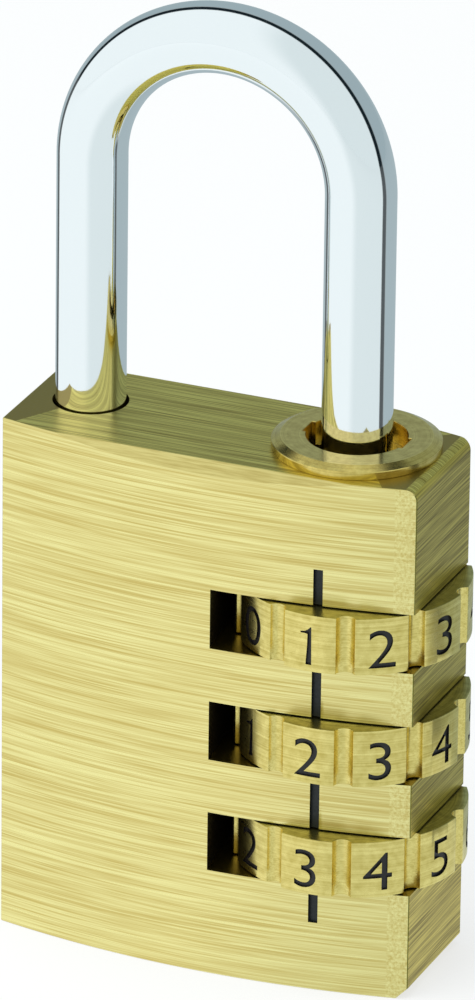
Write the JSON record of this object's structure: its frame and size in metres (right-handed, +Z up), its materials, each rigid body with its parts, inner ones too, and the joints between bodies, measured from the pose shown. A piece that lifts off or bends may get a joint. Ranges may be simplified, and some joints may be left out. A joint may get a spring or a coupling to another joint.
{
  "type": "combination lock",
  "caption": "Padlock with a crowned brass block body, a lifting plated bar shackle and number dials that turn in side slots.",
  "frame": {"origin": "centre of the body's flat base", "axes": "+Z up along the shackle legs, -Y out of the crowned front face, +X towards the dials"},
  "size_m": [0.0315, 0.016, 0.0674],
  "materials": {
    "body_brass": "brushed",
    "dial_brass": "satin",
    "collar_brass": "polished",
    "inner_brass": "turned",
    "shackle_chrome": "polished plating",
    "sleeve_steel": "turned",
    "spring_steel": "drawn"
  },
  "bodies": {
    "case": {"body": "body_brass", "collar": "collar_brass", "top_spacer": "inner_brass", "thrust_washer": "sleeve_steel", "sleeve_spring": "spring_steel", "lift_spring": "spring_steel", "base_plug": "inner_brass", "ball_under_dial_1": "spring_steel", "ball_over_dial_2": "spring_steel", "ball_under_dial_2": "spring_steel", "ball_over_dial_3": "spring_steel", "ball_under_dial_3": "spring_steel", "detent_spring_1": "spring_steel", "detent_spring_2": "spring_steel", "detent_spring_3": "spring_steel", "detent_plug": "inner_brass"},
    "shackle_bar": {"shackle": "shackle_chrome"},
    "top_dial": {"dial_1": "dial_brass", "code_sleeve_1": "sleeve_steel"},
    "middle_dial": {"dial_2": "dial_brass", "code_sleeve_2": "sleeve_steel"},
    "bottom_dial": {"dial_3": "dial_brass", "code_sleeve_3": "sleeve_steel"}
  },
  "joints": [
    {"name": "shackle_lift", "type": "slide", "parent": "case", "child": "shackle_bar", "axis": [0, 0, 1], "range_m": [0, 0.0082], "deforming": ["lift_spring"]},
    {"name": "top_dial_turn", "type": "hinge", "parent": "case", "child": "top_dial", "pos_m": [0.0085, 0.0005, 0.02625], "axis": [0, 0, 1], "continuous": true},
    {"name": "middle_dial_turn", "type": "hinge", "parent": "case", "child": "middle_dial", "pos_m": [0.0085, 0.0005, 0.01805], "axis": [0, 0, 1], "continuous": true},
    {"name": "bottom_dial_turn", "type": "hinge", "parent": "case", "child": "bottom_dial", "pos_m": [0.0085, 0.0005, 0.00985], "axis": [0, 0, 1], "continuous": true}
  ]
}
